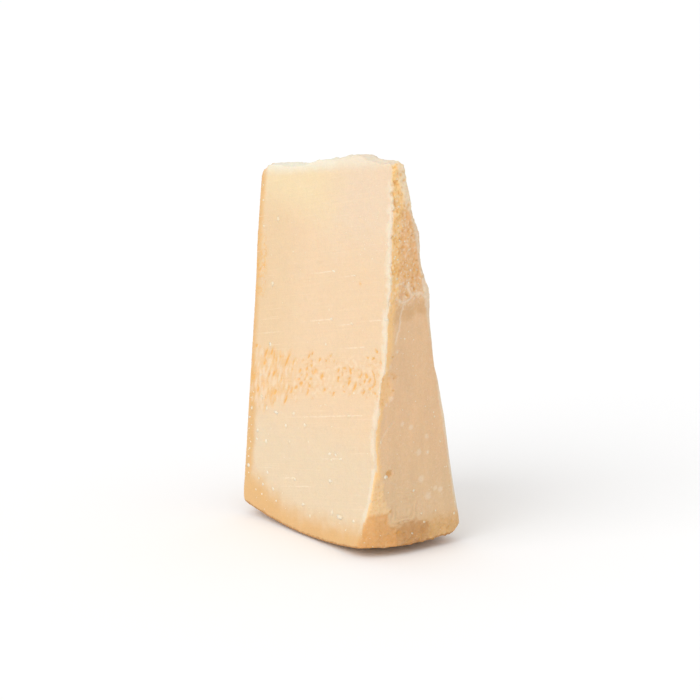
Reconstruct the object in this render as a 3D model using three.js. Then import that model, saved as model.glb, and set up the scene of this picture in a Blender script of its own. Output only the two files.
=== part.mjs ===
// A chunk of hard grana cheese, cut from a wheel and standing on the wheel's curved outer rind.
// Millimetres. Z is up, from the outer rind to the wheel's centre. Y is the wheel's own axis.
// -X is the smooth cut side, +X the other cut side, +Y the wheel's flat rind, -Y the broken side.
// The outside is a grid on a box, bent to the wheel's curves and then trimmed by small planes.

import * as THREE from 'three';
import { ImprovedNoise } from 'three/addons/math/ImprovedNoise.js';
import { mergeVertices } from 'three/addons/utils/BufferGeometryUtils.js';

// The wheel that the chunk comes from
const WHEEL_RADIUS = 210;
const BARREL_RADIUS = 273; // the outer rind also swells between the wheel's two flat sides

// The wedge
const WIDTH = 108.5; // from the broken side to the flat rind
const CUT_FOOT = 28.5; // from the middle of the foot to the smooth cut
const BACK_FOOT = 30.2; // from the middle of the foot to the other cut
const CUT_LEAN = Math.tan(THREE.MathUtils.degToRad(4.5));
const BACK_LEAN = Math.tan(THREE.MathUtils.degToRad(11));

// The tip, which is snapped off and rises towards the broken side in one step
const TIP_HEIGHT = 184.7;
const TIP_SLOPE_FAR = 0.09;
const TIP_SLOPE_NEAR = 0.17;
const TIP_STEP = 2.4;
const TIP_STEP_SPAN = [8, 20]; // where the step lies along the wheel's axis
const TIP_RAGGED = 1.3; // how far the snapped edge jumps up and down
const TIP_RAGGED_ACROSS = 5;
const TIP_RAGGED_ALONG = 11;
const TIP_CREST = 30; // the crest lies this far from the middle, over the broken side
const TIP_NOTCH = 2.2; // how far the tip drops again beyond the crest
const TIP_NOTCH_SPAN = [-33, -27];

// Edges and the foot
const CUT_EDGE = 1.8;
const RIND_EDGE = 1;
const WHEEL_CORNER = 8; // the roll between the flat rind and the outer rind
const FOOT_FLAT = 0.7; // the swell that is pressed flat where the chunk stands

// Unevenness of the broken side and of the knife cuts
const BREAK_REACH = 14; // how far an edge's swell reaches into its side
const GRAIN_SIZE = 9;
const GRAIN_DEPTH = 0.8;
const GRAIN_LEFT = 0.3; // the share of the grain that is left where the broken side is smooth
const SMOOTH_BELOW = 124;
const ROUGH_ABOVE = 136;
const WAVE_SIZE = 38;
const WAVE_DEPTH = 0.5;
const SLICE = { tip: 3.7, grain: 5.1, knife: 0.4 }; // where each unevenness cuts the noise field

// Cells of the grid across the wedge, along the wheel's axis and up
const CELLS = [12, 24, 40];
const CROWDING = 0.4; // how much closer the grid's lines stand at the edges

// Swells along the broken side's two upright edges: height, half-length, and how far out they stand
const CUT_EDGE_SWELLS = [
  [182, 10, -2.6],
  [132, 12, 2.0],
  [102, 10, 1.9],
  [64, 12, -2.6],
  [42, 6, 1.2],
];
const BACK_EDGE_SWELLS = [
  [168, 5, -0.8],
  [155, 6, 1.9],
  [127, 9, 2.3],
  [94, 7, -1.2],
];

const noise = new ImprovedNoise();

function swell(list, height) {
  let out = 0;
  for (const [middle, half, size] of list) {
    out += size * Math.exp(-(((height - middle) / half) ** 2));
  }
  return out;
}

function crowd(t) {
  return t - (CROWDING * Math.sin(2 * Math.PI * t)) / (2 * Math.PI);
}

function rindHeight(x, y) {
  return x ** 2 / (2 * WHEEL_RADIUS) + y ** 2 / (2 * BARREL_RADIUS);
}

function tipHeight(x, y) {
  const rise = TIP_SLOPE_NEAR * Math.min(Math.max(-y, 0), TIP_CREST) - TIP_SLOPE_FAR * Math.max(y, 0);
  const step = TIP_STEP * (1 - THREE.MathUtils.smoothstep(y, ...TIP_STEP_SPAN));
  const notch = TIP_NOTCH * (1 - THREE.MathUtils.smoothstep(y, ...TIP_NOTCH_SPAN));
  const ragged = TIP_RAGGED * noise.noise(x / TIP_RAGGED_ACROSS, y / TIP_RAGGED_ALONG, SLICE.tip);
  return TIP_HEIGHT + rise + step - notch + ragged;
}

// A point of the box, each coordinate from 0 to 1, on the wedge with its curved rind and ragged tip
function bend(across, along, up) {
  const roughly = up * TIP_HEIGHT;
  const left = -CUT_FOOT + roughly * CUT_LEAN;
  const right = BACK_FOOT - roughly * BACK_LEAN;
  const x = THREE.MathUtils.lerp(left, right, across);
  const y = (along - 0.5) * WIDTH;
  const z = THREE.MathUtils.lerp(rindHeight(x, y), tipHeight(x, y), up);
  return new THREE.Vector3(x, y, z);
}

// What breaking and cutting leave on the sides, as an offset from the plain wedge
function unevenness(point, across, along) {
  const { x, y, z } = point;
  const fromCut = x + CUT_FOOT - z * CUT_LEAN;
  const nearBreak = Math.exp((-along * WIDTH) / BREAK_REACH);
  const nearCut = Math.exp(-fromCut / BREAK_REACH);

  // the broken side stands out and in along its cut edge, and is grained above
  const rough = THREE.MathUtils.smoothstep(z, SMOOTH_BELOW, ROUGH_ABOVE);
  const depth = THREE.MathUtils.lerp(GRAIN_LEFT, 1, rough) * GRAIN_DEPTH;
  const grain = noise.noise(x / GRAIN_SIZE, SLICE.grain, z / GRAIN_SIZE) * depth;
  const out = swell(CUT_EDGE_SWELLS, z) * nearCut + grain;

  // its other edge stands out sideways, and the knife leaves a slow wave in both cuts
  const sideways = swell(BACK_EDGE_SWELLS, z) * nearBreak * across;
  const wave = noise.noise(SLICE.knife, y / WAVE_SIZE, z / WAVE_SIZE) * WAVE_DEPTH;
  return new THREE.Vector3(sideways + wave * (2 * across - 1), -out * nearBreak, 0);
}

// A plane through a point, facing the given way; what lies beyond it is trimmed back to it
function trim(facing, through) {
  const normal = new THREE.Vector3(...facing).normalize();
  return new THREE.Plane().setFromNormalAndCoplanarPoint(normal, new THREE.Vector3(...through));
}

// The trim that takes an edge between two sides off as deep as a rounding of the given radius
function bevel(first, second, radius) {
  const normal = first.normal.clone().add(second.normal);
  const length = normal.length();
  const depth = radius * (2 - Math.SQRT2);
  const reach = first.constant + second.constant + depth;
  return new THREE.Plane(normal.divideScalar(length), reach / length);
}

const cutSide = trim([-1, 0, CUT_LEAN], [-CUT_FOOT, 0, 0]);
const backSide = trim([1, 0, BACK_LEAN], [BACK_FOOT, 0, 0]);
const brokenSide = trim([0, -1, 0], [0, -WIDTH / 2, 0]);
const flatRind = trim([0, 1, 0], [0, WIDTH / 2, 0]);

const rindCorner = rindHeight(0, WIDTH / 2);
const trims = [
  bevel(cutSide, brokenSide, CUT_EDGE),
  bevel(backSide, brokenSide, CUT_EDGE),
  bevel(cutSide, flatRind, RIND_EDGE),
  bevel(backSide, flatRind, RIND_EDGE),
];

// the roll from the flat rind to the outer rind, in three facets of an arc
for (const turn of [20, 45, 70]) {
  const angle = THREE.MathUtils.degToRad(turn);
  const facing = [0, Math.cos(angle), -Math.sin(angle)];
  const centre = [0, WIDTH / 2 - WHEEL_CORNER, rindCorner + WHEEL_CORNER];
  trims.push(trim(facing, centre.map((value, axis) => value + facing[axis] * WHEEL_CORNER)));
}

// chips: at the tip's two ends, and at the foot below three of the upright edges
trims.push(
  trim([-0.35, 0.55, 0.757], [-14.4, 50, 179]),
  trim([0, -0.7, 0.72], [0, -51.8, 190.4]),
  trim([0.8, -0.25, 0.55], [-7.0, -54, 188.8]),
  trim([-0.25, -0.96, -0.1], [-26.8, -52.15, 26.7]),
  trim([-0.6, -0.78, -0.2], [-27.8, -47.65, 13.7]),
  trim([0.62, -0.25, -0.75], [27, -54, 9.6]),
  trim([0.6, 0.55, -0.4], [27.4, 52.3, 9]),
);

function cheeseGeometry() {
  const box = new THREE.BoxGeometry(1, 1, 1, ...CELLS);
  box.deleteAttribute('normal');
  box.deleteAttribute('uv');
  const geometry = mergeVertices(box);
  const position = geometry.attributes.position;
  for (let i = 0; i < position.count; i++) {
    const across = crowd(position.getX(i) + 0.5);
    const along = crowd(position.getY(i) + 0.5);
    const up = crowd(position.getZ(i) + 0.5);
    const point = bend(across, along, up);
    for (const plane of trims) {
      const beyond = plane.distanceToPoint(point);
      if (beyond > 0) point.addScaledVector(plane.normal, -beyond);
    }
    point.add(unevenness(point, across, along));
    point.z = Math.max(point.z, FOOT_FLAT);
    position.setXYZ(i, ...point);
  }
  geometry.computeBoundingBox();
  const centre = geometry.boundingBox.getCenter(new THREE.Vector3());
  geometry.translate(-centre.x, -centre.y, -FOOT_FLAT);
  geometry.computeVertexNormals();
  return geometry;
}

const paste = new THREE.MeshStandardMaterial({ color: 0xf2d2a4, roughness: 0.6, metalness: 0 });
const cheese = new THREE.Mesh(cheeseGeometry(), paste);
cheese.name = 'cheese_chunk';

const group = new THREE.Group();
group.add(cheese);

export default group;
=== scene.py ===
import math
import random

import bmesh
import bpy
from mathutils import Matrix, Vector, bvhtree, geometry, kdtree, noise


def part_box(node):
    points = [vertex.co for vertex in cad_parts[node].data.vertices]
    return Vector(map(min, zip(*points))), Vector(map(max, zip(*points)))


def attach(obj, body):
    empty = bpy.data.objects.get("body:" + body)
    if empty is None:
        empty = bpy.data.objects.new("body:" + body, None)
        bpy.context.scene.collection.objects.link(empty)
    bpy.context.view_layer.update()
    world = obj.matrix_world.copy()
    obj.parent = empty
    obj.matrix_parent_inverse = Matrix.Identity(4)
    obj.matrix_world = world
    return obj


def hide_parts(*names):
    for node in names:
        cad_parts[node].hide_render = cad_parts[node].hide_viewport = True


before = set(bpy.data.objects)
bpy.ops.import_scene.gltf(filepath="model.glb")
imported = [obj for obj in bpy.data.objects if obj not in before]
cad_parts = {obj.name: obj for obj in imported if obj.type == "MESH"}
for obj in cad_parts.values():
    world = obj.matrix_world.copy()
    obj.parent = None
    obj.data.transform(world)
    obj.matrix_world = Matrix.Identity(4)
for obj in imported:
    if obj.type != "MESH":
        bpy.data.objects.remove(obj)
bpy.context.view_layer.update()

# ----------------------------------------------------------------------------------------------
# The chunk
# One wedge of long-aged hard cheese, paste and rind together. Two sides are knife cuts that run to
# the wheel's centre, one is broken across the wheel, and two are the wheel's dry rind. The plain
# solid's skin is cut finer, and then gets its worn ridge, chipped foot, grain, pores and cracks.
# ----------------------------------------------------------------------------------------------

# the shapes are worked out in millimetres, and scaled to metres when they are done
MM = 0.001
low, high = (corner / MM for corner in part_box("cheese_chunk"))

# the plain wedge: how far its two cuts lean in as they rise, the radii of the wheel and of its
# swelling rind, how much of the swell the foot has lost, and how deep the broken side's edge is set
CUT_LEAN = 0.080
BACK_LEAN = 0.196
WHEEL_RADIUS = 210
BARREL_RADIUS = 273
FOOT_FLAT = 0.7
BREAK_SET = 1.7


def behind_cut(point):
    """How deep a point lies behind the smooth cut side."""
    return point.x - low.x - CUT_LEAN * point.z


def behind_back(point):
    """How deep it lies behind the other cut."""
    return high.x - BACK_LEAN * point.z - point.x


def behind_break(point):
    """How deep it lies behind the foremost points of the broken side."""
    return point.y - low.y


def behind_flat(point):
    """How deep it lies behind the flat rind."""
    return high.y - point.y


# the edge between the cut side and the broken side stands out, or in where far is under 0:
# height, half height, how far
EDGE_SWELLS = [(182, 10, -2.6), (132, 12, 2.0), (102, 10, 1.9), (64, 12, -2.6), (42, 6, 1.2)]


def edge_swell(z):
    """How far the edge stands out at a height."""
    return sum(far * math.exp(-(((z - middle) / half) ** 2)) for middle, half, far in EDGE_SWELLS)


def behind_edge(point):
    """How far a point lies along the cut side, behind its edge with the broken side."""
    return behind_break(point) - BREAK_SET + edge_swell(point.z)


def above_rind(point):
    """How far it lies above the outer rind."""
    return point.z + FOOT_FLAT - point.x ** 2 / (2 * WHEEL_RADIUS) - point.y ** 2 / (2 * BARREL_RADIUS)


def fade(value, start, end):
    """0 before start and 1 after end, with a soft turn at both."""
    way = min(max((value - start) / (end - start), 0), 1)
    return way * way * (3 - 2 * way)


def fuzz(point, size, octaves=3):
    """Uneven ups and downs round 0 in lumps of a size, with smaller and lower lumps on them."""
    return noise.fractal(point / size, 1.0, 2.0, octaves)


# both cuts have a belt of leaning pores, which sinks and widens towards the flat rind
BELT_HEIGHT = 80.5
BELT_SINK = 0.19
BELT_HALF = 10.5
BELT_WIDENS = 5.5
BELT_WIDEST_AT = 45
BELT_LEAN = 0.14
BELT_END = 1.15


def belt_middle(y):
    """The height of the belt's middle line."""
    return BELT_HEIGHT - BELT_SINK * y


def across_belt(point):
    """0 in the middle of the belt of pores and 1 at its edge. Its last pores lie at BELT_END."""
    half = BELT_HALF + BELT_WIDENS * fade(point.y, 0, BELT_WIDEST_AT)
    return abs(point.z - belt_middle(point.y)) / half


STRIP_HEIGHT = 129
STRIP_HALF = 18
STRIP_FROM = 43
STRIP_FULL = 47.5


def rind_strip(point):
    """1 in a second porous patch, high up along the flat rind."""
    level = fade(abs(point.z - STRIP_HEIGHT), STRIP_HALF, STRIP_HALF - 5)
    return fade(point.y, STRIP_FROM, STRIP_FULL) * level


# how fine the skin is cut, as the length of an edge, and how much longer one may be
LENGTH_PLAIN = 1.3
LENGTH_HIDDEN = 1.8
LENGTH_EDGE = 1.0
LENGTH_BREAK = 0.66
LENGTH_BELT = 0.6
LENGTH_SPARE = 1.35
CUTTING_ROUNDS = 5

# how deep behind a side its skin can lie, and how far the chipped foot and the edges reach
SKIN_DEPTH = 1.2
BREAK_DEPTH = 5
FOOT_DEPTH = 16
FOOT_WIDTH = 6
FOOT_TOP = 34
EDGE_REACH = 2.5
TIP_FROM = 178
SIDES = [behind_cut, behind_back, behind_break, behind_flat, above_rind]


def wanted_length(point):
    """How long an edge of the skin may be at a point."""
    on_foot = behind_break(point) < FOOT_DEPTH and point.z < FOOT_TOP and behind_cut(point) < FOOT_WIDTH
    if behind_break(point) < BREAK_DEPTH or on_foot:
        return LENGTH_BREAK
    busy = across_belt(point) < BELT_END or rind_strip(point) > 0.1
    if busy and behind_cut(point) < SKIN_DEPTH:
        return LENGTH_BELT
    if busy and behind_back(point) < SKIN_DEPTH:
        return LENGTH_EDGE
    depths = sorted(side(point) for side in SIDES)
    if depths[1] < EDGE_REACH or point.z > TIP_FROM:
        return LENGTH_EDGE
    return LENGTH_PLAIN if behind_cut(point) < SKIN_DEPTH else LENGTH_HIDDEN


def fullness(corners):
    """The smaller of the two triangles that a face of four corners gives, cut from its first."""
    a, b, c, d = (corner.co for corner in corners)
    return min(geometry.area_tri(a, b, c), geometry.area_tri(a, c, d))


skin = bmesh.new()
skin.from_mesh(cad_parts["cheese_chunk"].data)
bmesh.ops.remove_doubles(skin, verts=skin.verts, dist=0.01 * MM)
skin.transform(Matrix.Scale(1 / MM, 4))

# long edges are cut in two, round after round, and every face is cut into full triangles
for _ in range(CUTTING_ROUNDS):
    long_edges = []
    for edge in skin.edges:
        middle = (edge.verts[0].co + edge.verts[1].co) / 2
        if edge.calc_length() > LENGTH_SPARE * wanted_length(middle):
            long_edges.append(edge)
    bmesh.ops.subdivide_edges(skin, edges=long_edges, cuts=1, use_grid_fill=True)
    many_sided = [face for face in skin.faces if len(face.verts) > 4]
    bmesh.ops.triangulate(skin, faces=many_sided, quad_method="BEAUTY", ngon_method="BEAUTY")
    for face in [face for face in skin.faces if len(face.verts) == 4]:
        corners = list(face.verts)
        corners = max(corners, corners[1:] + corners[:1], key=fullness)
        bmesh.utils.face_split(face, corners[0], corners[2])

# what the finish needs to know is laid down on the skin: the way over the ridge, and how far a
# point is hollow, pale, broken, rind or chipped
LAID_DOWN = ["ridge", "hollow", "pale", "broken", "rind", "chip"]
ridge_layer, hollow_layer, pale_layer, broken_layer, rind_layer, chip_layer = (
    skin.verts.layers.float.new(name) for name in LAID_DOWN
)

# the ridge between the smooth cut and the broken side is worn back in places, or stands out
# where deep is under 0: height, half height, how deep and how wide over the broken side
RIDGE_WEAR = [
    (156, 14, 0.2, 5),
    (112, 12, -0.4, 6),
    (93, 6, -1.3, 7),
    (80, 8, -0.8, 6),
    (68, 9, -1.3, 5),
    (53, 5, 0.1, 3),
]
WEAR_ALONG = 12
WEAR_OVER = 10
RAGGED_OVER = 3
RAGGED_SET = 0.45
RIDGE_FAR = 30

# beside the ridge, a shallow scoop is gone from the broken side
SCOOP_MIDDLE = Vector((-21, 0, 83.6))
SCOOP_HALF_WIDTH = 6.4
SCOOP_HALF_HEIGHT = 8.4
SCOOP_DEEP = 1.0
SCOOP_REACH = 4
SCOOP_SHADE = 0.75

for vert in skin.verts:
    point = vert.co
    over = max(behind_cut(point), 0)
    along = max(behind_edge(point), 0)
    vert[ridge_layer] = over - along if over < RIDGE_FAR else RIDGE_FAR
    if over < WEAR_OVER and along < WEAR_ALONG:
        bite = 0.0
        for height, half, deep, wide in RIDGE_WEAR:
            bite += deep * fade(abs(point.z - height) / half, 1, 0.2) * max(1 - over / wide, 0)
        ragged = 0.8 * noise.noise(Vector((0, 0, point.z / 5)))
        ragged += 0.5 * noise.noise(Vector((3, 0, point.z / 1.7)))
        bite += (ragged - RAGGED_SET) * max(1 - over / RAGGED_OVER, 0) * fade(point.z, 188, 184)
        point.y += bite * (1 - along / WEAR_ALONG)
    if behind_break(point) < SCOOP_REACH:
        across = (point.x - SCOOP_MIDDLE.x) / SCOOP_HALF_WIDTH
        up = (point.z - SCOOP_MIDDLE.z) / SCOOP_HALF_HEIGHT
        scoop = fade(math.hypot(across, up) + 0.3 * noise.noise(point / 4), 1.05, 0.8)
        vert[chip_layer] = SCOOP_SHADE * scoop
        point.y += SCOOP_DEEP * scoop * fade(over, 0.3, 2)

# two flakes are gone from the foot of the ridge, the lower one a step deeper: a point on each
# facet that they leave, and the way it faces
FOOT_FACETS = [
    (Vector((-27.5, -51.3, 26.0)), Vector((-0.25, -0.96, -0.1)).normalized()),
    (Vector((-28.5, -46.8, 13.0)), Vector((-0.6, -0.78, -0.2)).normalized()),
]
FACET_EDGE = 0.45
FACET_TOP = 42
FACETS_BEFORE = -30
FACETS_BELOW = 50
STEP_HEIGHT = 22
STEP_HALF = 0.7
STEP_DEEP = 0.5

for vert in skin.verts:
    point = vert.co
    if point.y < FACETS_BEFORE and point.z < FACETS_BELOW:
        beyond = max((point - middle).dot(facing) for middle, facing in FOOT_FACETS)
        flake = fade(beyond + 0.4 * noise.noise(point / 3), -FACET_EDGE, 0)
        flake *= fade(point.z, FACET_TOP, FACET_TOP - 6)
        vert[chip_layer] = flake
        # the finish takes a facet for a part of the broken side
        vert[ridge_layer] = max(vert[ridge_layer], 2 * beyond + 1.2)
        level = point.z + 2 * noise.noise(point / 4)
        below = fade(level, STEP_HEIGHT + STEP_HALF, STEP_HEIGHT - STEP_HALF)
        point.y += STEP_DEEP * flake * below

# the new forms are smoothed into each other a little
SMOOTH_ROUNDS = 2
for _ in range(SMOOTH_ROUNDS):
    bmesh.ops.smooth_vert(
        skin, verts=skin.verts, factor=0.5, use_axis_x=True, use_axis_y=True, use_axis_z=True
    )
skin.normal_update()
skin.verts.ensure_lookup_table()

# where each point of the skin starts and faces, before it gets its grain
start = {}
facing_out = {}
places = kdtree.KDTree(len(skin.verts))
for vert in skin.verts:
    start[vert.index] = vert.co.copy()
    facing_out[vert.index] = vert.normal.copy()
    places.insert(vert.co, vert.index)
places.balance()

# the broken side: crumbly above, smooth like a shell's break below, rough again at the foot
ROUGH_FROM = 126
ROUGH_FULL = 136
LEDGE_HEIGHT = 128
LEDGE_SLOPE = 0.1
LEDGE_HALF = 5.5
RING_MIDDLE = Vector((-8.7, 0, 23))
RING_STEP = 3.1
FOOT_ROUGH_FROM = 17
FOOT_ROUGH_FULL = 10
PIT_SINK = 0.4


def broken_relief(point, chip):
    """The way out, how hollow and how pale the broken side is at a point."""
    rough = fade(point.z + 5 * noise.noise(point / 9), ROUGH_FROM, ROUGH_FULL)
    out = rough * (0.55 * fuzz(point, 4.2) + 0.35 * fuzz(point, 1.5, 2))
    pits = noise.noise(point / 1.2) + 0.5 * noise.noise(point / 0.7)
    pit = 0.85 * rough * fade(pits + 0.4 * noise.noise(point / 8), 0.27, 0.52)
    # below, low waves that run up and down
    smooth = 1 - rough
    out += smooth * 0.45 * noise.noise(Vector((point.x / 9, 1, point.z / 26)))
    out += smooth * 0.14 * noise.noise(Vector((point.x / 3.8, 5, point.z / 15)))
    out += smooth * 0.05 * fuzz(point, 1.8, 2)
    # a torn ledge between the two
    ledge = math.exp(-(((point.z - LEDGE_HEIGHT - LEDGE_SLOPE * point.x) / LEDGE_HALF) ** 2))
    out += ledge * (0.7 - 1.6 * abs(noise.noise(point / 4.2)) - 0.9 * abs(noise.noise(point / 1.9)))
    # rings round a spot near the foot
    up = 1.5 * (point.z - RING_MIDDLE.z)
    reach = math.hypot(point.x - RING_MIDDLE.x, up) + 4.5 * noise.noise(point / 7)
    patchy = fade(noise.noise(point / 5 + RING_MIDDLE), -0.35, 0.25)
    rings = fade(reach, 16, 8) * fade(reach, 1.5, 5) * patchy
    out += 0.3 * rings * math.sin(2 * math.pi * reach / RING_STEP)
    # the rough foot and the chips
    foot = fade(point.z + 3 * noise.noise(point / 5), FOOT_ROUGH_FROM, FOOT_ROUGH_FULL) * (1 - chip)
    out += 0.9 * foot * fuzz(point, 3.2)
    out += 0.3 * chip * fuzz(point, 3.1)
    pit = max(pit, (0.6 * foot + 0.7 * chip) * fade(pits, 0.3, 0.6))
    grit = (0.25 + 0.75 * rough) * fade(-pits, 0.25, 0.5) * 0.5 + 0.5 * ledge * fade(-pits, 0.05, 0.3)
    return out - PIT_SINK * pit, pit, grit


def belt_relief(point):
    """The way out, how hollow and how pale a cut is at a point, by its pores."""
    # the pores are round near the ridge, and drawn out into streaks near the flat rind
    streaky = fade(point.y, 5, 30)
    strip = rind_strip(point)
    belt = fade(across_belt(point) + 0.4 * noise.noise(point / 6), BELT_END, 0.6)
    if max(belt, strip) < 0.01:
        return 0.0, 0.0, 0.0
    rise = point.z - belt_middle(point.y)
    wide = 2.3 - 0.2 * streaky
    tall = 1.9 + 3.4 * streaky * (1 - strip)
    across = (point.y + BELT_LEAN * rise) / wide
    grain = noise.noise(Vector((point.x * 0.1, across, rise / tall)))
    grain += 0.5 * noise.noise(Vector((point.x * 0.1 + 9, across * 2.3, rise / tall * 2.3)))
    thick = 0.5 * noise.noise(Vector((point.x * 0.1, point.y / 8, rise / 6)))
    hole = fade(grain + thick, 0.36 - 0.16 * streaky - 0.1 * strip, 0.75) * max(belt, 0.9 * strip)
    tint = belt * (0.1 + 0.3 * streaky * fade(grain, -0.3, 0.4) + 0.15 * fade(thick, 0.0, 0.2))
    tint = max(tint, 0.5 * strip * fade(grain + thick, -0.2, 0.4))
    lip = fade(grain, -0.1, -0.45) * belt * 0.35
    return 0.1 * lip - PIT_SINK * hole, max(hole * 0.85, tint), lip


# each side gets its own relief, by the way that it faces
for vert in skin.verts:
    point = start[vert.index]
    normal = facing_out[vert.index]
    on_break = fade(-normal.y, 0.45, 0.8)
    on_cut = fade(abs(normal.x), 0.8, 0.96)
    on_rind = max(fade(normal.y, 0.6, 0.85), fade(-normal.z, 0.6, 0.85))
    on_tip = fade(normal.z, 0.45, 0.75)
    move = 0.0
    hollow = 0.0
    if on_break > 0:
        out, pit, grit = broken_relief(point, vert[chip_layer])
        move += on_break * out
        hollow = on_break * pit
        vert[pale_layer] = on_break * grit
    if on_tip > 0:
        move += on_tip * (0.45 * fuzz(point, 3.4) + 0.25 * fuzz(point, 1.4, 2))
    if on_rind > 0:
        move += on_rind * (0.16 * fuzz(point, 7) + 0.06 * fuzz(point, 1.8, 2))
    if on_cut > 0:
        out, hole, lip = belt_relief(point)
        move += on_cut * (out + 0.05 * noise.noise(point / 6))
        hollow = max(hollow, on_cut * hole)
        vert[pale_layer] = max(vert[pale_layer], on_cut * lip)
    vert.co = point + normal * move
    vert[hollow_layer] = hollow
    vert[broken_layer] = on_break
    vert[rind_layer] = on_rind * fade(point.z + 2 * on_rind, 0, 0.5)


def sink(index, share, deep, layer, shade):
    """Sinks a point of the skin by a share of deep, as far as its layer isn't shaded already."""
    vert = skin.verts[index]
    amount = shade * share
    if amount > vert[layer]:
        vert.co -= facing_out[index] * deep * (amount - vert[layer]) / shade
        vert[layer] = amount


def press(middle, wide, tall, deep, layer=hollow_layer, shade=1.0, lean=0.0):
    """Presses a hollow into the skin round a point. With a lean over 0 its top leans to -Y."""
    for place, index, _ in places.find_range(middle, 0.8 * max(wide, tall)):
        offset = place - middle
        level = math.hypot(offset.x, offset.y + lean * offset.z) / (wide / 2)
        reach = math.hypot(level, offset.z / (tall / 2)) * (1 + 0.35 * noise.noise(place * 0.8))
        sink(index, fade(reach, 1.2, 0.45), deep, layer, shade)


SCORE_STEP = 0.5
SCORE_WANDER = 0.5
OTHER_NOISE = Vector((5, 5, 5))


def score(line, wide, deep, layer, shade):
    """Scores a crack into the skin along a line, which wanders a little."""
    for before, after in zip(line, line[1:]):
        steps = max(int((after - before).length / SCORE_STEP), 1)
        for step in range(steps):
            spot = before.lerp(after, step / steps)
            aside = Vector((noise.noise(spot / 2), 0, noise.noise(spot / 2 + OTHER_NOISE)))
            spot += SCORE_WANDER * aside
            for _, index, distance in places.find_range(spot, wide):
                sink(index, fade(distance, wide, 0.2 * wide), deep, layer, shade)


def on_cut_side(y, z):
    """The place of a point on the smooth cut."""
    return Vector((low.x + CUT_LEAN * z, y, z))


def on_back_side(y, z):
    """The place of a point on the other cut."""
    return Vector((high.x - BACK_LEAN * z, y, z))


# the swells of the edge die out over the broken side
SWELL_REACH = 14


def on_broken_side(x, z):
    """The place of a point on the broken side."""
    over = max(x - low.x - CUT_LEAN * z, 0)
    return Vector((x, low.y + BREAK_SET - edge_swell(z) * math.exp(-over / SWELL_REACH), z))


# the biggest pores of the cut side: y, height, width, tallness
PORES = [
    (-1, 83.4, 3.2, 2.6), (6, 80, 2.3, 2.6), (6, 83.6, 1.7, 2.2), (2, 86, 1.6, 2.2),
    (11.5, 81.5, 1.7, 1.8), (9.8, 75.3, 2.6, 2.4), (12, 77.3, 2.6, 1.3), (14, 72.8, 2.6, 2.2),
    (3, 75.2, 2.2, 1.8), (4, 72.5, 1.7, 3), (-4, 89.6, 2, 1.9), (2.5, 91.5, 1.5, 2),
    (5, 90, 1.5, 3), (-6.6, 82, 2.8, 3.6), (-9.4, 75.8, 1.9, 1.9), (-17, 75.4, 1.9, 2.3),
    (-20, 83.6, 2, 1.9), (-19.8, 87, 1.4, 2.2), (-29.4, 88.4, 2, 3.4), (-29, 83, 2.5, 3),
    (-33.8, 82, 1.9, 4), (-42.4, 88.3, 3.2, 2.3), (-41.2, 85.8, 2, 1.8), (-45, 86.6, 2.2, 2.4),
    (-45.3, 82.8, 2.2, 1.3), (-41, 80.3, 1.6, 2), (-50, 81.5, 1.9, 1.5), (-49, 101.3, 2, 1.4),
    (-42.2, 97.2, 1.6, 1.1), (-46.9, 97.7, 2, 1.1), (22, 65.5, 1.9, 4.6), (31.5, 67, 2.8, 2.7),
    (46.5, 65.5, 2.2, 3), (22.8, 85, 2, 8), (17.5, 84.8, 2, 2.5), (36.5, 87, 1.8, 4),
    (41, 86.5, 1.6, 4), (42, 80.5, 3, 3), (50.5, 87.5, 2, 2), (33.5, 76.3, 2.2, 3),
    (-33.4, 131, 1.3, 1.3),
]

# how the pores lean, apart from those over the belt's end by the ridge, how deep they are, and
# the wide shallow halo round each
PORE_LEAN = 0.45
BY_RIDGE_LEAN = -0.4
PORE_TALLER = 1.3
PORE_DEEP = 0.45
HALO = 2.2
HALO_DEEP = 0.08
HALO_SHADE = 0.26
for y, z, wide, tall in PORES:
    lean = BY_RIDGE_LEAN if y < -27 and z > 87 else PORE_LEAN
    press(on_cut_side(y, z), wide, PORE_TALLER * tall, PORE_DEEP, lean=lean)
    press(on_cut_side(y, z), HALO * wide, HALO * tall, HALO_DEEP, shade=HALO_SHADE, lean=lean)

# one long pore bends round the others at the belt's end
BENT_PORE = [(-46.5, 91.5), (-48.6, 89), (-49.3, 86.5), (-47.5, 83.5)]
line = [on_cut_side(y, z) for y, z in BENT_PORE]
score(line, wide=0.9, deep=0.6, layer=hollow_layer, shade=0.9)

# thin cracks and torn edges in the broken side, filled with pale dust: how pale, and the x and
# height of each point
CRACKS = [
    (0.65, [(-8.8, 125.4), (-10, 122), (-11.2, 117), (-11.8, 112), (-13.5, 108.5), (-14.6, 105)]),
    (0.3, [(-13.8, 66.8), (-19.2, 61.7), (-20.3, 59.5), (-22.1, 55.9), (-23, 52.6)]),
    (0.8, [(-13.6, 132.8), (-9.8, 133.7), (-5.9, 127.8), (-5.2, 125.9), (-9.7, 123.9)]),
    (0.8, [(-5.9, 127.8), (0.2, 127.9), (3.7, 125)]),
    (0.8, [(-3.6, 125.5), (1, 127.3)]),
    (0.8, [(-9.8, 133.7), (-7, 130.5), (-5.9, 127.8)]),
    (0.8, [(-13.8, 126), (-9.7, 123.9)]),
]
for shade, crack in CRACKS:
    line = [on_broken_side(x, z) for x, z in crack]
    score(line, wide=0.85, deep=0.25, layer=pale_layer, shade=shade)

# a crease over the scoop
CREASE = [(-19.5, 90.4), (-17, 91), (-15, 90.4), (-13.4, 88.6)]
line = [on_broken_side(x, z) for x, z in CREASE]
score(line, wide=1.1, deep=0.4, layer=hollow_layer, shade=0.5)

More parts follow.
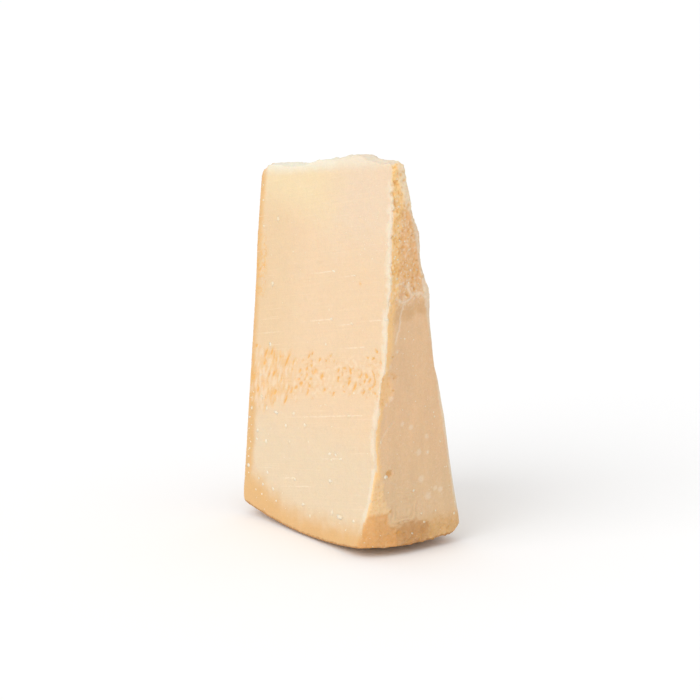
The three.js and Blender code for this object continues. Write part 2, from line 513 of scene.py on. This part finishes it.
# single pits of the broken side: x, height, size
PITS = [
    (-14.8, 140.2, 1.6), (-11.9, 139.4, 1.6), (-8.9, 136.8, 1.8), (-4.1, 135.3, 1.7),
    (-8.8, 132.3, 2.6), (-3.4, 130, 2.0), (-7.6, 127.6, 2.0), (-15.8, 98.9, 1.3),
    (-14.9, 82.3, 1.5), (-17.5, 42.3, 4.2), (-16, 23.1, 1.9), (-12.5, 139.4, 1.6),
    (-0.7, 137.5, 1.5), (-11.2, 11.6, 3.0), (-20.4, 76.8, 1.6), (-2.1, 126.1, 1.5),
    (-14.5, 88.4, 1.5), (-19.8, 86.3, 1.2), (-15.5, 80, 1.0), (-15.8, 155.5, 1.6), (-11.3, 157, 1.1),
    (-9.6, 150.2, 1.6), (-12, 148.1, 1.5), (-4.9, 153.6, 1.2), (-6.1, 144.6, 1.4), (-10.1, 141.2, 1.6),
    (-14.6, 140.4, 1.8), (-14.4, 153, 1.3), (-13.8, 171.1, 2.2), (-14.6, 175.6, 2.6),
    (-12.5, 180.7, 2.4), (-14.8, 162.6, 1.4),
]
PIT_DEEP = 0.15
PIT_DEEPENS = 0.27
for x, z, size in PITS:
    press(on_broken_side(x, z), size, size * 0.9, PIT_DEEP + PIT_DEEPENS * size)

# pale round blooms, which lie flat in the surface: x, height, size
BLOOMS = [
    (6.6, 27.2, 3.6), (11, 30.4, 2.6), (14.4, 29.2, 2.8), (2.5, 36.4, 3.4), (0.8, 49.9, 3),
    (6.3, 49, 1.8), (-8.8, 65, 2), (-3.7, 62.7, 2.4), (5.8, 56.9, 2.2), (-13.5, 101, 1.6),
    (-20.8, 93.4, 3.4), (-17.6, 94.4, 2.2), (-16, 78.4, 2.4), (-18.6, 75.8, 1.6),
]
BLOOM_RIM = 1.2
for x, z, size in BLOOMS:
    across = BLOOM_RIM * size
    press(on_broken_side(x, z), across, across, deep=0, layer=pale_layer, shade=0.5)


def keep_inside(place, unit):
    """Moves a place into the plain solid's box, so that nothing stands out beyond it."""
    for axis in range(3):
        place[axis] = min(max(place[axis], low[axis] * unit), high[axis] * unit)


for vert in skin.verts:
    keep_inside(vert.co, 1)
skin.transform(Matrix.Scale(MM, 4))


class Wire:
    """A value that runs through a finish. Sums and products of wires add the nodes they need."""

    def __init__(self, socket):
        self.socket = socket

    def node(self, kind, settings, values, output=0):
        """Adds a node with its settings made first, then its sockets' values or wires."""
        nodes = self.socket.id_data
        made = nodes.nodes.new("ShaderNode" + kind)
        for name, value in settings.items():
            setattr(made, name, value)
        for name, value in values.items():
            if isinstance(value, Wire):
                nodes.links.new(value.socket, made.inputs[name])
            else:
                made.inputs[name].default_value = value
        return Wire(made.outputs[output])

    def math(self, operation, first, second=0.0):
        return self.node("Math", {"operation": operation}, {0: first, 1: second})

    def __add__(self, other):
        return self.math("ADD", self, other)

    def __radd__(self, other):
        return self.math("ADD", other, self)

    def __sub__(self, other):
        return self.math("SUBTRACT", self, other)

    def __rsub__(self, other):
        return self.math("SUBTRACT", other, self)

    def __mul__(self, other):
        return self.math("MULTIPLY", self, other)

    def __rmul__(self, other):
        return self.math("MULTIPLY", other, self)

    def __abs__(self):
        return self.math("ABSOLUTE", self)

    def most(self, other):
        return self.math("MAXIMUM", self, other)

    def into(self, shader, name):
        """Ends this wire in one of a shader's sockets."""
        self.socket.id_data.links.new(self.socket, shader.inputs[name])

    def fade(self, start, end):
        """0 before start and 1 after end, with a soft turn at both."""
        limits = {"Value": self, "From Min": start, "From Max": end}
        return self.node("MapRange", {"interpolation_type": "SMOOTHSTEP"}, limits)

    def mix(self, under, over):
        """The colour under, covered by the colour over as far as this wire says."""
        return self.node("Mix", {"data_type": "RGBA"}, {0: self, 6: under, 7: over}, output=2)

    def times(self, shade):
        """This colour, made darker or lighter by a wire round 1."""
        settings = {"data_type": "RGBA", "blend_type": "MULTIPLY"}
        return self.node("Mix", settings, {0: 1.0, 6: self, 7: shade}, output=2)

    def lumps(self, size, detail=2.0, stretch=(1, 1, 1), shift=0.0):
        """Uneven values round 0.5 in lumps of a size in millimetres, on coordinates in metres."""
        scale = tuple(1 / (MM * size * part) for part in stretch)
        scaled = self.node("VectorMath", {"operation": "MULTIPLY"}, {0: self, 1: scale})
        moved = self.node("VectorMath", {"operation": "ADD"}, {0: scaled, 1: (shift, shift, shift)})
        return self.node("TexNoise", {}, {"Vector": moved, "Scale": 1.0, "Detail": detail})


def tone(seen):
    """A colour as it is seen, such as F6D8AC, in the linear numbers that a shader takes."""
    parts = [int(seen[first:first + 2], 16) / 255 for first in (0, 2, 4)]
    return tuple(((part + 0.055) / 1.055) ** 2.4 for part in parts) + (1.0,)


def new_finish(name):
    """A new finish, its shader and the wire of its coordinates."""
    finish = bpy.data.materials.new(name)
    finish.use_nodes = True
    coordinates = finish.node_tree.nodes.new("ShaderNodeTexCoord").outputs["Object"]
    return finish, finish.node_tree.nodes["Principled BSDF"], Wire(coordinates)


def new_object(name, shape, finish):
    """An object in the scene, made of a shape with smooth faces and a finish."""
    for face in shape.faces:
        face.smooth = True
    mesh = bpy.data.meshes.new(name)
    shape.to_mesh(mesh)
    mesh.materials.append(finish)
    made = bpy.data.objects.new(name, mesh)
    bpy.context.scene.collection.objects.link(made)
    return made


cheese_finish, shader, where = new_finish("cheese_finish")
x, y, z = (where.node("SeparateXYZ", {}, {0: where}, output=axis) * (1 / MM) for axis in range(3))


def laid(name):
    """A value laid down on the skin while it was shaped."""
    return where.node("Attribute", {"attribute_name": name}, {}, output="Fac")


ridge, hollow, pale, broken, rind, chip = (laid(name) for name in LAID_DOWN)

# how far a point lies from each side, in millimetres
over_cut = x - float(low.x) - z * CUT_LEAN
over_back = float(high.x) - z * BACK_LEAN - x
over_break = y - float(low.y)
over_rind = z + FOOT_FLAT - x * x * (0.5 / WHEEL_RADIUS) - y * y * (0.5 / BARREL_RADIUS)
over_flat = float(high.y) - y

# the colours of the paste on the cuts, and the snapped edge of the tip: its height half way, and
# how it sinks towards the flat rind
PASTE_LOW = tone("DBC5A6")
PASTE_MIDDLE = tone("E0C3A0")
PASTE_BY_FLAT = tone("DCBF99")
PASTE_ROSY = tone("DFC6A9")
PASTE_YELLOW = tone("E2CBA4")
PASTE_AMBER = tone("E3BC86")
TIP_PALE_AND_HIGHLIGHT = tone("E2DBC8")
TIP_MIDDLE = 186.3
TIP_SINK = 0.13

# uneven values in lumps of four sizes, and the same values round 0
wide = where.lumps(24, 2.0)
middling = where.lumps(7, 2.0, shift=4.0)
small = where.lumps(2.2, 2.0, shift=8.0)
grain = where.lumps(0.7, 3.0)
wide_sway, middling_sway, small_sway, grain_sway = (
    lumps - 0.5 for lumps in (wide, middling, small, grain)
)

height = z + wide_sway * 16
paste = height.fade(38, 74).mix(PASTE_LOW, PASTE_MIDDLE)
paste = (y.fade(5, 40) * height.fade(60, 100)).mix(paste, PASTE_BY_FLAT)
paste = (y.fade(20, -25) * height.fade(132, 168)).mix(paste, PASTE_ROSY)
yellow = y.fade(-28, 16) * (z - y * 0.15).fade(146, 168)
paste = yellow.mix(paste, PASTE_YELLOW)
amber = over_flat.fade(6.5, 1) * (z.fade(128, 150) * 0.7 + 0.3)
paste = amber.mix(paste, PASTE_AMBER)
tip_edge = z + y * TIP_SINK - TIP_MIDDLE + middling_sway * 3
# the snapped tip: paler, drier paste, painted lighter still as a painted highlight where light from
# above falls on its rounded top
paste = (tip_edge.fade(-7, -0.5) * (y.fade(-30, 10) * 0.4 + 0.55)).mix(paste, TIP_PALE_AND_HIGHLIGHT)

# the broken side, darker and more tan
BREAK_ROUGH = tone("E3B583")
BREAK_MIDDLE = tone("E0BA91")
BREAK_LOW = tone("DBBA92")
FOOT_BROWN_AND_LEDGE_SHADOW = tone("C99A63")
BREAK_TIP = tone("F4D29E")
break_paste = (z + wide_sway * 24).fade(20, 70).mix(BREAK_LOW, BREAK_MIDDLE)
break_paste = (z + middling_sway * 10).fade(122, 136).mix(break_paste, BREAK_ROUGH)
break_paste = z.fade(160, 184).mix(break_paste, BREAK_TIP)
# painted shadow: a brown band under the torn ledge, where the ledge shades the side below it; the same
# brown is the rough foot's own colour
LEDGE_SHADE_HEIGHT = 120
ledge_shade = (abs(z - LEDGE_SHADE_HEIGHT - x * LEDGE_SLOPE) + middling_sway * 8).fade(6, 1)
break_paste = (ledge_shade * 0.42).mix(break_paste, FOOT_BROWN_AND_LEDGE_SHADOW)
foot_patch = (z + small_sway * 14).fade(17, 9)
break_paste = foot_patch.mix(break_paste, FOOT_BROWN_AND_LEDGE_SHADOW)
streaks = where.lumps(4, 2.0, stretch=(1, 1, 6))
break_paste = break_paste.times((streaks - 0.5) * 0.12 + 1.0)
colour = broken.mix(paste, break_paste)

# painted light along the ridge: an orange glow beyond it, and before it a pale strip that is partly a
# bruise and partly a painted highlight
RIDGE_GLOW = tone("F2C686")
PALE_BRUISE_AND_HIGHLIGHT = tone("E2D6C0")
past_ridge = ridge + small_sway * 3
glow_width = z.fade(60, 150) * 3.0 + 2.0
orange = (past_ridge - glow_width).fade(2.4, -0.8) * ridge.fade(0.3, 1.0) * over_break.fade(9, 5)
# painted glow: orange where light catches the rounded ridge and shines through its thin paste
colour = (orange * 0.75).mix(colour, RIDGE_GLOW)
bruise_and_highlight_width = middling_sway * 6 + small_sway * 3 + 1.5
bruise_and_highlight = (ridge + bruise_and_highlight_width).fade(-2.2, 0.8) * (ridge + small_sway * 2.4).fade(1.4, 0.4)
bruise_and_highlight = bruise_and_highlight * over_break.fade(20, 12) * z.fade(184, 176) * (z.fade(70, 100) * 0.15 + 0.6)
# the pale strip: partly a worn bruise and partly a painted highlight along the lit crest of the ridge
colour = bruise_and_highlight.mix(colour, PALE_BRUISE_AND_HIGHLIGHT)

# a painted highlight: a pale line along the far edge of the broken side
far_highlight_width = z.fade(162, 172) * 2.4 + small_sway * 1.5 + 1.9
far_highlight = (over_back - far_highlight_width).fade(0.9, -0.9) * over_break.fade(6, 3) * z.fade(4, 20)
colour = (far_highlight * 0.6).mix(colour, PALE_BRUISE_AND_HIGHLIGHT)

# tan towards the rind, on every side
UNDER_RIND = tone("D7AD77")
near_rind = (over_rind + middling_sway * 9 - y.fade(10, 54) * 8).fade(17, 2.5)
near_flat = (over_flat + middling_sway * 3 - z.fade(84, 50) * 4).fade(6.5, 1.0)
colour = near_rind.most(near_flat).mix(colour, UNDER_RIND)
RIND_EDGE = tone("A97442")
rind_edge = (over_rind + small_sway * 1.6).fade(1.5, 0.4) * 0.75
colour = rind_edge.most(over_flat.fade(0.9, 0.3) * 0.25).mix(colour, RIND_EDGE)

# a brown bruise low on the broken side, and the golden colours of its chips and its scoop
CHIP_GOLD = tone("EBC694")
CHIP_BROWN = tone("DCA466")
CHIP_AMBER = tone("F0C48C")
BRUISE_BROWN = tone("B98350")
BRUISE_MIDDLE_X = -4.5
BRUISE_MIDDLE_Z = 9.5
across_patch = (x - BRUISE_MIDDLE_X) * 0.075
up_patch = (z - BRUISE_MIDDLE_Z) * 0.13
patch = across_patch * across_patch + up_patch * up_patch + small_sway * 1.3 + middling_sway
patch = patch.fade(1.2, 0.4)
colour = (patch * broken * 0.55).mix(colour, BRUISE_BROWN)
chip_colour = z.fade(21, 24).mix(CHIP_BROWN, CHIP_GOLD)
# over the scoop, amber that is partly the chip's own colour and partly painted light, as its facet
# faces the sun
chip_colour = z.fade(60, 70).mix(chip_colour, CHIP_AMBER)
colour = (chip * broken * 0.8).mix(colour, chip_colour)

# the pores are orange inside, and the lips between them pale
PORE = tone("E4A84E")
PALE = tone("ECDCC6")
colour = (hollow * (0.8 - broken * 0.25)).mix(colour, PORE)
colour = (pale * 0.75).mix(colour, PALE)

# knife marks: fine pale lines that rise towards the broken side
MARK_SLOPE = 0.21
MARK_LENGTH = 38
MARK_WIDTH = 0.8
marks_along = y - z * MARK_SLOPE
marks_across = z + y * MARK_SLOPE
lengthwise = marks_along * (MM / MARK_LENGTH)
widthwise = marks_across * (MM / MARK_WIDTH)
marks = where.node("CombineXYZ", {}, {0: lengthwise, 1: widthwise}).lumps(1, 3.0)
hairlines = marks.fade(0.62, 0.74) * wide.fade(0.42, 0.6) * (1 - broken)
colour = (hairlines * 0.28).mix(colour, PALE)
colour = colour.times((marks - 0.5) * (1 - broken) * 0.07 + 1.0)

# a few long marks, most of them from a crystal that the knife dragged: y, height, length
DRAGS = [
    (-11.5, 134.2, 24), (-28.3, 134.4, 11), (-12.3, 111, 32), (-28.8, 111.2, 14), (-53, 117, 22),
    (-42, 69.4, 78), (-26.6, 45, 24), (11.7, 27.2, 16), (-4, 26.2, 30), (-40, 102, 26),
]


def drag_mark(start_y, start_z, length):
    """1 on the mark that runs to +Y from a place, and fades away along its length."""
    away = abs(marks_across - (start_z + start_y * MARK_SLOPE) + middling_sway * 0.8)
    behind = marks_along - (start_y - start_z * MARK_SLOPE)
    return away.fade(0.5, 0.1) * behind.fade(0, 1) * behind.fade(length, length * 0.3)


drag = drag_mark(*DRAGS[0])
for mark in DRAGS[1:]:
    drag = drag.most(drag_mark(*mark))
drag = drag * over_cut.fade(2.5, 1.5) * small.fade(0.25, 0.6)
colour = (drag * 0.5).mix(colour, PALE)

# mottling and fine grain all over
colour = colour.times(middling_sway * 0.05 + small_sway * 0.07 + grain_sway * 0.16 + 1.0)

# the rind: dry, golden brown and dusty
RIND_GOLD = tone("C99A5C")
RIND_BROWN = tone("B07C45")
RIND_DUST = tone("D8B888")
rind_colour = where.lumps(16, 6.0).fade(0.3, 0.75).mix(RIND_GOLD, RIND_BROWN)
rind_colour = (where.lumps(6, 6.0, shift=3.0).fade(0.5, 0.8) * 0.45).mix(rind_colour, RIND_DUST)
rind_colour = rind_colour.times(grain_sway * 0.25 + small_sway * 0.15 + 1.0)
colour = rind.mix(colour, rind_colour)

colour.into(shader, "Base Color")

# the cuts shine a little, the broken side less, and the dry rind least
roughness = broken * 0.06 + rind * 0.16 + small_sway * 0.1 - hollow * 0.05 + 0.57
roughness.into(shader, "Roughness")
shader.inputs["Specular IOR Level"].default_value = 0.3
shader.inputs["Subsurface Weight"].default_value = 0.2
shader.inputs["Subsurface Radius"].default_value = (0.003, 0.0016, 0.0008)
shader.inputs["Subsurface Scale"].default_value = 1.0

# the grain, the lumps and the knife marks stand out by a fraction of a millimetre
relief = grain * 0.5 + small * 0.7 + marks * 0.35
bump = where.node("Bump", {}, {"Strength": 0.6, "Distance": 0.35 * MM, "Height": relief})
bump.into(shader, "Normal")

cheese = new_object("cheese", skin, cheese_finish)
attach(cheese, "root")
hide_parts("cheese_chunk")

# ----------------------------------------------------------------------------------------------
# The crystals
# Small white grains that form as the cheese ages. They lie almost flush in its sides, as low round
# caps that stand about a tenth of a millimetre proud. The larger ones have places of their own,
# and the rest are strewn, thickest near the rind.
# ----------------------------------------------------------------------------------------------

surface = bvhtree.BVHTree.FromBMesh(skin)
crystal_dice = random.Random(11)
grains = bmesh.new()

# a cap's height and how deep it is sunk, its half width with the sunk rim for each millimetre of
# its size, and how uneven it is
CAP_HEIGHT = 0.22
CAP_SUNK = 0.13
CAP_HALF = 0.62
CAP_UNEVEN = 0.3

INTO_CUT = Vector((1, 0, 0))
INTO_BACK = Vector((-1, 0, 0))
INTO_BREAK = Vector((0, 1, 0))
INTO_RIDGE = Vector((1, 1, 0)).normalized()


def set_crystal(place, inwards, wide, tall, away=6):
    """Sets a grain where a line through the place meets the surface, unless it only grazes it."""
    above = place - away * inwards
    spot, normal, _, _ = surface.ray_cast(above * MM, inwards)
    if spot is None or normal.dot(inwards) > -0.5:
        return
    turn = normal.to_track_quat("Z", "Y").to_matrix().to_4x4()
    roll = Matrix.Rotation(crystal_dice.uniform(-0.5, 0.5), 4, "Z")
    size = Matrix.Diagonal((wide * CAP_HALF, tall * CAP_HALF, CAP_HEIGHT, 1))
    sunk = Matrix.Translation(Vector((0, 0, -CAP_SUNK)))
    seat = Matrix.Translation(spot) @ turn @ roll @ Matrix.Scale(MM, 4) @ sunk @ size
    made = bmesh.ops.create_icosphere(grains, subdivisions=1, radius=1)
    for vert in made["verts"]:
        vert.co *= 1 + CAP_UNEVEN * noise.noise(vert.co * 0.9 + above)
        vert.co = seat @ vert.co
        keep_inside(vert.co, MM)


# on the cut side: y, height, and the width and tallness of the white middle
CUT_CRYSTALS = [
    (39.6, 120.7, 1.9, 2.4), (37.7, 153.6, 1.7, 2.2), (38.3, 90.4, 1.6, 2.2), (29.6, 57.2, 2.8, 1.6),
    (37.5, 57.6, 1.4, 2.2), (5.3, 55.4, 1.9, 2.1), (20.6, 52, 2.0, 1.8), (-11, 68.6, 2.2, 0.8),
    (-30.7, 66.9, 2.6, 0.9), (44.5, 45, 1.7, 1.7), (44.9, 40.3, 1.4, 1.4), (37, 40.9, 2.0, 2.2),
    (17, 44.4, 1.2, 1.4), (1, 47.7, 1.6, 1.8), (-17, 45.5, 2.4, 1.4), (-18.9, 43, 1.6, 1.2),
    (-22.4, 46.1, 1.2, 1.6), (-26.6, 45, 2.2, 1.1), (-18.9, 32.5, 1.9, 2.0), (-28.8, 16.8, 4.4, 2.3),
    (-4.4, 11.6, 1.4, 1.4), (10.6, 27, 2.0, 1.6), (25.1, 12.4, 1.2, 1.0), (37.3, 18.4, 1.3, 1.3),
    (28.3, 17.9, 2.0, 1.5), (34, 25.2, 1.6, 1.4), (41.2, 20.7, 1.2, 1.0), (43, 14.4, 1.0, 1.0),
    (37.7, 13.1, 1.0, 1.0), (2, 16, 2.2, 1.6), (-22.2, 17.4, 2.0, 3.0), (-40, 17.5, 2.2, 1.8),
    (-34.2, 11.7, 1.0, 0.8), (52.5, 169.1, 1.0, 0.9), (51.7, 161.6, 1.4, 0.9), (49.6, 148.7, 1.4, 1.1),
    (51, 55.2, 1.6, 1.5), (52.3, 50.3, 1.4, 0.9), (50.7, 34.4, 1.0, 0.9), (50.7, 25.4, 1.8, 2.0),
    (-11.5, 134.2, 2.4, 1.0), (-28.3, 134.5, 2.2, 0.9), (-12.3, 111, 2.0, 1.0),
    (-28.8, 111.4, 1.8, 1.0), (-54, 117, 1.2, 1.0), (11.7, 27.2, 1.9, 1.3), (-8.5, 98, 1.2, 1.2),
    (-33.5, 78.5, 1.0, 1.0), (14.8, 59.3, 2.1, 2.0), (42.7, 62.9, 1.3, 2.2), (50.5, 63.8, 0.9, 0.9),
    (50.4, 46.6, 0.7, 0.6), (52.3, 44.4, 1.0, 0.9), (51.1, 39.4, 0.6, 0.7), (50.2, 37.9, 0.8, 1.0),
    (51.8, 33.6, 0.7, 0.7), (51.2, 29.9, 1.1, 0.9), (50.2, 21.6, 0.8, 0.9), (52.4, 60.5, 0.7, 0.8),
]
WIDER_THAN_WHITE = 1.5
TALLER_THAN_WHITE = 1.35
for along, height, wide, tall in CUT_CRYSTALS:
    place = on_cut_side(along, height)
    set_crystal(place, INTO_CUT, WIDER_THAN_WHITE * wide, TALLER_THAN_WHITE * tall)

# on the broken side: x, height and size
BREAK_CRYSTALS = [
    (-13.4, 101, 1.2), (-8.7, 106.7, 1.0), (-3.2, 105.5, 0.9), (10, 68.1, 1.0), (10.6, 66.1, 1.2),
    (-20.9, 57.6, 1.6), (13.9, 53.2, 1.1), (6.3, 49.2, 1.0), (-2.3, 31.4, 1.3), (2.6, 19.1, 1.4),
    (4.3, 14.5, 1.6), (11.4, 19, 1.0), (23.2, 15.4, 1.6), (-3.2, 9.8, 1.5), (-19.8, 41, 2.0),
    (20, 30, 1.0), (17, 40, 0.9), (-18, 33, 0.9),
]
for across, height, size in BREAK_CRYSTALS:
    set_crystal(on_broken_side(across, height), INTO_BREAK, size, size)

# finer ones in the rough part of the broken side: x and height
ROUGH_CRYSTALS = [
    (-10, 160.1), (-10, 163), (-8.4, 163.5), (-12.1, 169.4), (-14.7, 156.1), (-13.5, 149.8),
    (-12.8, 144.6), (-15.1, 145.5), (-8.2, 143.3), (-7.4, 141.3), (-14.4, 146.4), (-11.5, 153.5),
    (-4.6, 156.2), (-0.7, 132.1), (0.4, 134.6), (-6.2, 148.8), (-8.6, 153.1), (-11, 138.4), (-5.6, 139),
    (-13.6, 135.8), (-3, 141.7), (-9.4, 146.3), (-12.6, 160.6), (-1.6, 138.6), (-6.8, 133.2),
]
for across, height in ROUGH_CRYSTALS:
    size = crystal_dice.uniform(0.7, 1.1)
    set_crystal(on_broken_side(across, height), INTO_BREAK, size, size)

# specks strewn over both cuts: the side, the way in, how many, and how much larger
SPECK_SIZE = 0.35
STREWN = [(on_cut_side, INTO_CUT, 150, 1.0), (on_back_side, INTO_BACK, 210, 1.5)]
for side, inwards, count, larger in STREWN:
    for _ in range(count):
        height = 6 + 176 * crystal_dice.random() ** 1.7
        along = crystal_dice.uniform(-50, 53)
        size = larger * (SPECK_SIZE + 0.75 * crystal_dice.random() ** 3)
        tall = size * crystal_dice.uniform(0.8, 1.3)
        set_crystal(side(along, height), inwards, size, tall)

# specks strewn over the broken side
BREAK_SPECKS = 100
for _ in range(BREAK_SPECKS):
    height = crystal_dice.uniform(6, 184)
    across = crystal_dice.uniform(low.x + CUT_LEAN * height + 2, high.x - BACK_LEAN * height - 1)
    size = SPECK_SIZE + 0.5 * crystal_dice.random() ** 3
    set_crystal(on_broken_side(across, height), INTO_BREAK, size, size)

# a drift of the finest specks high on the smooth cut
DRIFT_SPECKS = 70
DRIFT_ALONG = -36
DRIFT_HEIGHT = 163
for _ in range(DRIFT_SPECKS):
    along = crystal_dice.gauss(DRIFT_ALONG, 9)
    height = crystal_dice.gauss(DRIFT_HEIGHT, 12)
    size = crystal_dice.uniform(0.3, 0.65)
    set_crystal(on_cut_side(along, height), INTO_CUT, 1.5 * size, size)

# white nicks along the ridge
NICKS = 18
for _ in range(NICKS):
    height = crystal_dice.uniform(80, 182)
    corner = on_cut_side(low.y + BREAK_SET, height)
    corner.y -= behind_edge(corner)
    size = crystal_dice.uniform(0.5, 1.1)
    set_crystal(corner, INTO_RIDGE, size, 1.4 * size, away=8)

CRYSTAL_WHITE = tone("E8DCC6")
CRYSTAL_CREAM = tone("E5D2B2")
crystal_finish, shader, where = new_finish("crystal_finish")
colour = where.lumps(3, 2.0).fade(0.4, 0.6).mix(CRYSTAL_WHITE, CRYSTAL_CREAM)
colour = colour.times((where.lumps(0.4, 2.0) - 0.5) * 0.12 + 1.0)
colour.into(shader, "Base Color")
shader.inputs["Roughness"].default_value = 0.5
shader.inputs["Specular IOR Level"].default_value = 0.35

crystals = new_object("crystals", grains, crystal_finish)
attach(crystals, "root")

# ----------------------------------------------------------------------------------------------
# The stand, the light and the camera
# A plain pale floor, soft daylight all round and one broad soft sun on the smooth cut side. The
# camera looks a little down at the ridge between the cut side and the broken side.
# ----------------------------------------------------------------------------------------------

floor_finish, shader, _ = new_finish("floor_finish")
shader.inputs["Base Color"].default_value = (0.94, 0.94, 0.94, 1)
shader.inputs["Roughness"].default_value = 0.9
FLOOR_SIZE = 8
floor_skin = bmesh.new()
bmesh.ops.create_grid(floor_skin, x_segments=1, y_segments=1, size=FLOOR_SIZE)
floor = new_object("floor", floor_skin, floor_finish)

world = bpy.data.worlds.new("daylight")
world.use_nodes = True
sky = world.node_tree.nodes["Background"]
sky.inputs["Color"].default_value = (1, 1, 1, 1)
sky.inputs["Strength"].default_value = 0.86
bpy.context.scene.world = world

TOWARDS_SUN = Vector((-0.8, -0.1, 0.6))
sun_data = bpy.data.lights.new("soft_sun", "SUN")
sun_data.energy = 1.2
sun_data.angle = math.radians(50)
sun = bpy.data.objects.new("soft_sun", sun_data)
sun.rotation_euler = TOWARDS_SUN.to_track_quat("Z", "Y").to_euler()
bpy.context.scene.collection.objects.link(sun)

CAMERA_AZIMUTH = math.radians(-36.8)
CAMERA_RISE = math.radians(11.95)
CAMERA_AIM = Vector((-0.32, 0.30, 91.0)) * MM
CAMERA_AWAY = 1.0
camera_data = bpy.data.cameras.new("camera")
camera_data.sensor_width = 36
camera_data.lens = 103.7
camera = bpy.data.objects.new("camera", camera_data)
back = Vector((
    math.sin(CAMERA_AZIMUTH) * math.cos(CAMERA_RISE),
    -math.cos(CAMERA_AZIMUTH) * math.cos(CAMERA_RISE),
    math.sin(CAMERA_RISE),
))
camera.location = CAMERA_AIM + back * CAMERA_AWAY
camera.rotation_euler = back.to_track_quat("Z", "Y").to_euler()
bpy.context.scene.collection.objects.link(camera)
bpy.context.scene.camera = camera
bpy.context.scene.view_settings.view_transform = "Standard"
